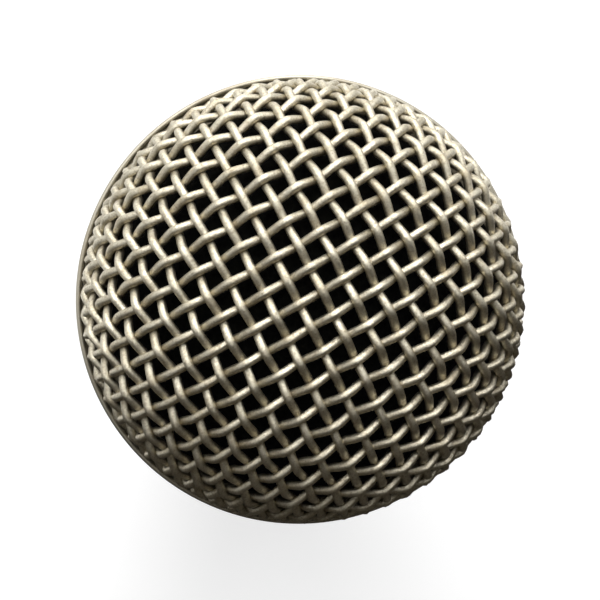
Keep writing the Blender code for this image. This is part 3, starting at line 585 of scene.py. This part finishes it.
foam_sleeve = foam_piece("foam_sleeve", sleeve_section)
# Painted shade: the foam's colour is set near zero, below black foam's own, so that the gaps between
# the wires go black.
black_foam = Finish("black_foam")
foam_cells = black_foam.cells(1700.0)
black_foam.use(
    base_color=black_foam.mix(foam_cells, (0.001, 0.001, 0.001, 1), (0.005, 0.005, 0.004, 1)),
    roughness=0.90 + 0.10 * foam_cells,
    normal=black_foam.bump(foam_cells, 0.9, 0.2 * MM),
)
black_foam.shader.inputs["Specular IOR Level"].default_value = 0.03
for piece, node in ((foam_dome, "front_foam"), (foam_sleeve, "rear_foam")):
    put_on(piece, black_foam)
    belongs(piece, "foam", "foam", node)

# Wire shells: the two halves of the ball, each pressed from one sheet of plain-woven
# round wire and plated, which fills the crossings a little. The sheet keeps its pitch as it
# is drawn over the form, so its squares shear, and the wires end in the band and the collar.
PITCH = 2.51 * MM
PLATED_WIRE = 0.94 * MM
CLOTH_TURN = math.radians(29.8)
CLOTH_SKEW = math.radians(2.8)
CLOTH_SHIFT = (0.32, -0.81)
CLOTH_STEP = 1.2 * MM
CLOTH_REACH = 1.7
EDGE_PASSES = 6
CELL_PASSES = 24
STEPS_PER_PITCH = 6
SHORTEST_WIRE = 4
KNUCKLE = 0.45


def onto_form(point, radius, height):
    """The place on an ellipsoid round the origin that a point looks out at."""
    flat = (point.x ** 2 + point.y ** 2) / radius ** 2
    return point / math.sqrt(flat + point.z ** 2 / height ** 2)


def drape(radius, height, count):
    """A quarter of a net of equal steps laid over a form from its pole, as rows of points."""
    net = [[None] * count for _ in range(count)]
    net[0][0] = Vector((0, 0, height))
    for k in range(1, count):
        for i, j, first in ((k, 0, Vector((1, 0, 0))), (0, k, Vector((0, 1, 0)))):
            last = net[max(0, i - 1)][max(0, j - 1)]
            point = last + first if k == 1 else 2 * last - net[max(0, i - 2)][max(0, j - 2)]
            for _ in range(EDGE_PASSES):
                point = onto_form(last + (point - last).normalized() * CLOTH_STEP, radius, height)
            net[i][j] = point
    for i in range(1, count):
        for j in range(1, count):
            left = net[i][j - 1]
            right = net[i - 1][j]
            point = left + right - net[i - 1][j - 1]
            for _ in range(CELL_PASSES):
                for held in (left, right):
                    reach = held + (point - held).normalized() * CLOTH_STEP
                    point = onto_form(reach, radius, height)
            net[i][j] = point
    return net


def on_cloth(net, radius, height, u, v):
    """The point of a draped net at distances u and v from its pole along its two ways."""
    a = abs(u) / CLOTH_STEP
    b = abs(v) / CLOTH_STEP
    i = int(a)
    j = int(b)
    near = net[i][j].lerp(net[i + 1][j], a - i)
    far = net[i][j + 1].lerp(net[i + 1][j + 1], a - i)
    point = onto_form(near.lerp(far, b - j), radius, height)
    return Vector((math.copysign(point.x, u), math.copysign(point.y, v), point.z))


def crimp(steps):
    """How far over or under a wire passes, from 1 to -1, with a knuckle at each crossing."""
    wave = math.cos(math.pi * steps)
    return (1 - KNUCKLE) * wave + KNUCKLE * math.asin(wave) * 2 / math.pi


def weave(radius, height, lowest, highest):
    """Middle lines of the wires of a form, pole up, between two heights over its widest line."""
    count = int(CLOTH_REACH * max(radius, height) / CLOTH_STEP)
    net = drape(radius, height, count)
    furthest = (count - 2) * CLOTH_STEP
    wires = int(furthest / PITCH)
    spin = Matrix.Rotation(CLOTH_TURN, 3, "Z")
    paths = []
    for way in (0, 1):
        for k in range(-wires, wires):
            path = []
            for step in range(-wires * STEPS_PER_PITCH, wires * STEPS_PER_PITCH + 1):
                along = step / STEPS_PER_PITCH
                i, j = (k + 0.5, along) if way == 0 else (along, k + 0.5)
                across = (i - CLOTH_SHIFT[0]) * PITCH
                down = (CLOTH_SHIFT[1] - j) * PITCH
                u = across + down * math.sin(CLOTH_SKEW)
                v = down * math.cos(CLOTH_SKEW)
                inside = max(abs(u), abs(v)) < furthest
                point = on_cloth(net, radius, height, u, v) if inside else None
                if inside and lowest <= point.z <= highest:
                    flat = radius ** 2
                    out = Vector((point.x / flat, point.y / flat, point.z / height ** 2))
                    lift = (WIRE - PLATED_WIRE / 2) * crimp(along - 0.5 + k) * (1 - 2 * way)
                    path.append(spin @ (point + out.normalized() * lift))
                    continue
                if len(path) >= SHORTEST_WIRE:
                    paths.append(path)
                path = []
    return paths


front_paths = weave(shell_radius, dome_height, front_low.z - equator_z, dome_height)
front_paths = [[point + Vector((0, 0, equator_z)) for point in path] for path in front_paths]
front_wires = wire_piece("front_wires", front_paths, PLATED_WIRE / 2)
rear_paths = []
for path in weave(shell_radius, skirt_semi, band_z - rear_high.z, band_z - rear_low.z):
    rear_path = []
    for point in path:
        height = band_z - point.z
        spread = 1.0
        if height < neck_z:
            spread = max(spread, (SKIRT_FOOT - WIRE / 2) / math.hypot(point.x, point.y))
        rear_path.append((point.x * spread, point.y * spread, height))
    rear_paths.append(rear_path)
rear_wires = wire_piece("rear_wires", rear_paths, PLATED_WIRE / 2)

wire_nickel = Finish("wire_nickel", metallic=1.0)
tarnish = wire_nickel.between(wire_nickel.noise(620.0, 4.0), 0.48, 0.74)
draw_marks = wire_nickel.noise(5.0, 5.0, "UV", (8, 60, 1))
pits = wire_nickel.noise(4200.0, 3.0)
stains = wire_nickel.between(pits + 0.5 * draw_marks, 0.72, 1.0)
clean_wire = wire_nickel.mix(tarnish, (0.60, 0.558, 0.442, 1), (0.46, 0.405, 0.292, 1))
wire_nickel.use(
    base_color=wire_nickel.mix(0.65 * stains, clean_wire, (0.25, 0.185, 0.11, 1)),
    roughness=0.34 + 0.10 * tarnish + 0.16 * stains,
    normal=wire_nickel.bump(draw_marks + pits, 0.55, 0.05 * MM),
)
for piece, node in ((front_wires, "front_mesh"), (rear_wires, "rear_mesh")):
    put_on(piece, wire_nickel)
    belongs(piece, "grille", "nickel_wire", node)

# Band: a thin nickel-plated ring rolled to an H section. Its two round beads close over
# the edges of the wire shells.
BEAD_RADIUS = 0.29 * MM
BEAD_STEPS = 8
BAND_WEB = 0.4 * MM
BAND_SIDES = 192
WAIST_DEPTH = 0.12 * MM
WAIST_EDGE = 1.1 * MM
band_radius = band_high.x
bead_foot = band_radius - 2 * BEAD_RADIUS
inner_wall = shell_radius - WIRE - FIT
beads = []
for bead_z, start in ((band_high.z - BEAD_RADIUS, 0), (band_low.z + BEAD_RADIUS, 180)):
    bead = []
    for k in range(BEAD_STEPS + 1):
        a = math.radians(start + 180 * k / BEAD_STEPS)
        bead_x = band_radius - BEAD_RADIUS + BEAD_RADIUS * math.cos(a)
        bead.append((bead_x, bead_z + BEAD_RADIUS * math.sin(a)))
    beads.append(bead)
waist = band_radius - WAIST_DEPTH
band_profile = [
    (waist, band_low.z + WAIST_EDGE), (waist, band_high.z - WAIST_EDGE), *beads[0],
    (bead_foot, band_z + BAND_WEB), (inner_wall, band_z + BAND_WEB), (inner_wall, band_high.z),
    (inner_wall - FIT, band_high.z), (inner_wall - FIT, band_low.z), (inner_wall, band_low.z),
    (inner_wall, band_z - BAND_WEB), (bead_foot, band_z - BAND_WEB), *beads[1],
]
rolled_band = turn("rolled_band", band_profile, BAND_SIDES)
rolled_nickel = Finish("rolled_nickel", metallic=1.0)
roll_lines = rolled_nickel.noise(900.0, 3.0, stretch=(0.06, 0.06, 3))
nickel_cloud = rolled_nickel.between(rolled_nickel.noise(160.0, 4.0), 0.45, 0.75)
rolled_nickel.use(
    base_color=rolled_nickel.mix(nickel_cloud, (0.43, 0.40, 0.325, 1), (0.35, 0.31, 0.235, 1)),
    roughness=0.46 + 0.12 * nickel_cloud + 0.06 * roll_lines,
    normal=rolled_nickel.bump(roll_lines, 0.12, 0.03 * MM),
)
put_on(rolled_band, rolled_nickel)
belongs(rolled_band, "grille", "nickel_band", "grille_band")

# Collar: the turned and plated ring that the ball is crimped into, with a decorative
# groove round it and the thread inside it.
COLLAR_BORE = 16.45 * MM
LIP_BORE = 19.0 * MM
LINE_DEPTH = 0.3 * MM
COLLAR_EDGE = 0.2 * MM
collar_radius = collar_high.x
ledge_z = rear_low.z - FIT
line_z = (collar_low.z + ledge_z) / 2
collar_profile = [
    (COLLAR_BORE, collar_low.z), (collar_radius, collar_low.z),
    (collar_radius, line_z - LINE_DEPTH), (collar_radius - LINE_DEPTH, line_z),
    (collar_radius, line_z + LINE_DEPTH), (collar_radius, collar_high.z),
    (LIP_BORE, collar_high.z), (LIP_BORE, ledge_z), (COLLAR_BORE, ledge_z),
]
turned_collar = turn("turned_collar", collar_profile, round_off=COLLAR_EDGE)
put_on(turned_collar, rolled_nickel)
belongs(turned_collar, "grille", "nickel_band", "grille_collar")

# Floor: a wide sheet of plain white paper that the tail stands on. It takes the soft shadow,
# and a faint glow, which the camera and reflections see alone, keeps it white in the picture.
FLOOR_SIZE = 6
FLOOR_DROP = 0.2 * MM
PAPER_GLOW = 0.11


def looking_rays(shader):
    """1 for the rays by which the camera, metal and glass look at a surface, 0 for the rest."""
    rays = []
    for kind in ("Is Camera Ray", "Is Glossy Ray", "Is Transmission Ray"):
        rays.append(shader.add("ShaderNodeLightPath", {}, {}, kind))
    return rays[0] + rays[1] + rays[2]


bpy.ops.object.select_all(action="DESELECT")
bpy.ops.mesh.primitive_plane_add(size=FLOOR_SIZE, location=(0, 0, -FLOOR_DROP))
floor = bpy.context.object
floor.name = "floor"
white_paper = Finish("white_paper", base_color=(0.93, 0.93, 0.93, 1), roughness=0.9)
glow = PAPER_GLOW * looking_rays(white_paper)
glow_colour = white_paper.add("ShaderNodeCombineColor", {}, {k: glow for k in range(3)}, "Color")
white_paper.use(emission_color=glow_colour, emission_strength=1.0)
put_on(floor, white_paper)

# Dark cards: matt studio cards that reflections alone see, as the dark side of the room that
# the picture was taken in. They are painted shade in the ball's metal: dark reflections that
# make its lower side dark. Three brown ones stand round the lower side of the ball in the
# picture, one hangs over that side, and a black one lies under it.
CARD_AWAY = 65 * MM
CARD_TOP = 300 * MM
CARD_LEVEL = 104 * MM
CARD_SPAN = 400 * MM
CARD_OVERHANG = 8 * MM
CARD_SPREAD = math.radians(58)
CARD_SWING = math.radians(14)
# Brown and black card colours: painted dark reflections that shade the lower side of the ball.
brown_card = Finish("brown_card", base_color=(0.033, 0.028, 0.020, 1), roughness=1.0)
black_card = Finish("black_card", base_color=(0.004, 0.004, 0.004, 1), roughness=1.0)
upright = math.radians(90)
lying_away = (CARD_AWAY + shell_radius) / 2
lying_size = (CARD_SPAN, CARD_AWAY - shell_radius)
hanging_away = (CARD_AWAY - CARD_OVERHANG) / 2
hanging_size = (CARD_SPAN, CARD_AWAY + CARD_OVERHANG)
panel_size = (2 * CARD_AWAY * math.tan(CARD_SPREAD / 2), CARD_TOP)
card_places = [
    ("lying_card", black_card, lying_away, CARD_LEVEL, 0, CARD_SWING, lying_size),
    ("hanging_card", brown_card, hanging_away, CARD_TOP, 0, CARD_SWING, hanging_size),
]
for k in (-1, 0, 1):
    name = f"standing_card_{k + 2}"
    swing = CARD_SWING + k * CARD_SPREAD
    card_places.append((name, brown_card, CARD_AWAY, CARD_TOP / 2, upright, swing, panel_size))
for name, paper, away, level, tilt, swing, (width, depth) in card_places:
    place = (away * math.sin(swing), -away * math.cos(swing), level)
    bpy.ops.mesh.primitive_plane_add(size=1, location=place, rotation=(tilt, 0, swing))
    card = bpy.context.object
    card.name = name
    card.scale = (width, depth, 1)
    card.visible_camera = False
    card.visible_diffuse = False
    card.visible_shadow = False
    put_on(card, paper)

# Light: a large soft lamp over the top of the picture, a smaller one low behind it, and a
# pale room all round that the camera and the metal see as white.
ROOM_LIGHT = 0.55
LAMP_AIM = Vector((0, 0, equator_z))
lamp_places = (
    ("high_lamp", Vector((-0.08, 0.48, 0.78)), 0.60, 4.8),
    ("low_lamp", Vector((-0.04, 0.50, 0.32)), 0.40, 1.7),
)
for name, place, size, power in lamp_places:
    lamp_data = bpy.data.lights.new(name, "AREA")
    lamp_data.shape = "SQUARE"
    lamp_data.size = size
    lamp_data.energy = power
    lamp = bpy.data.objects.new(name, lamp_data)
    lamp.location = place
    lamp.rotation_euler = (LAMP_AIM - place).to_track_quat("-Z", "Y").to_euler()
    bpy.context.scene.collection.objects.link(lamp)
world = bpy.data.worlds.new("room")
bpy.context.scene.world = world
world.use_nodes = True
room = ShaderNodes(world.node_tree)
background = world.node_tree.nodes["Background"]
background.inputs["Color"].default_value = (1, 1, 1, 1)
room_strength = ROOM_LIGHT + (1 - ROOM_LIGHT) * looking_rays(room)
room.link(background.inputs["Strength"], room_strength)

# Camera: close over the ball, a little to the left of its axis and above it in the picture.
# The lens and its shift put the ball at its size and place in the square frame.
CAMERA_REACH = 5.2
CAMERA_NEAREST = 5 * MM
POLE_RIGHT = math.radians(6.12)
POLE_UP = math.radians(-2.30)
FRAME_SIZE = 600
SHELL_PIXELS = 212.4
BALL_PIXEL = (304.5, 301.4)
camera_data = bpy.data.cameras.new("camera")
camera_data.lens = camera_data.sensor_width * CAMERA_REACH * SHELL_PIXELS / FRAME_SIZE
camera_data.shift_x = 0.5 - BALL_PIXEL[0] / FRAME_SIZE
camera_data.shift_y = BALL_PIXEL[1] / FRAME_SIZE - 0.5
camera_data.clip_start = CAMERA_NEAREST
camera = bpy.data.objects.new("camera", camera_data)
lean = Matrix.Rotation(-math.hypot(POLE_RIGHT, POLE_UP), 4, Vector((-POLE_UP, POLE_RIGHT, 0)))
ball_centre = Matrix.Translation((0, 0, equator_z))
camera.matrix_world = ball_centre @ lean @ Matrix.Translation((0, 0, CAMERA_REACH * shell_radius))
bpy.context.scene.collection.objects.link(camera)
bpy.context.scene.camera = camera
bpy.context.scene.view_settings.view_transform = "Standard"
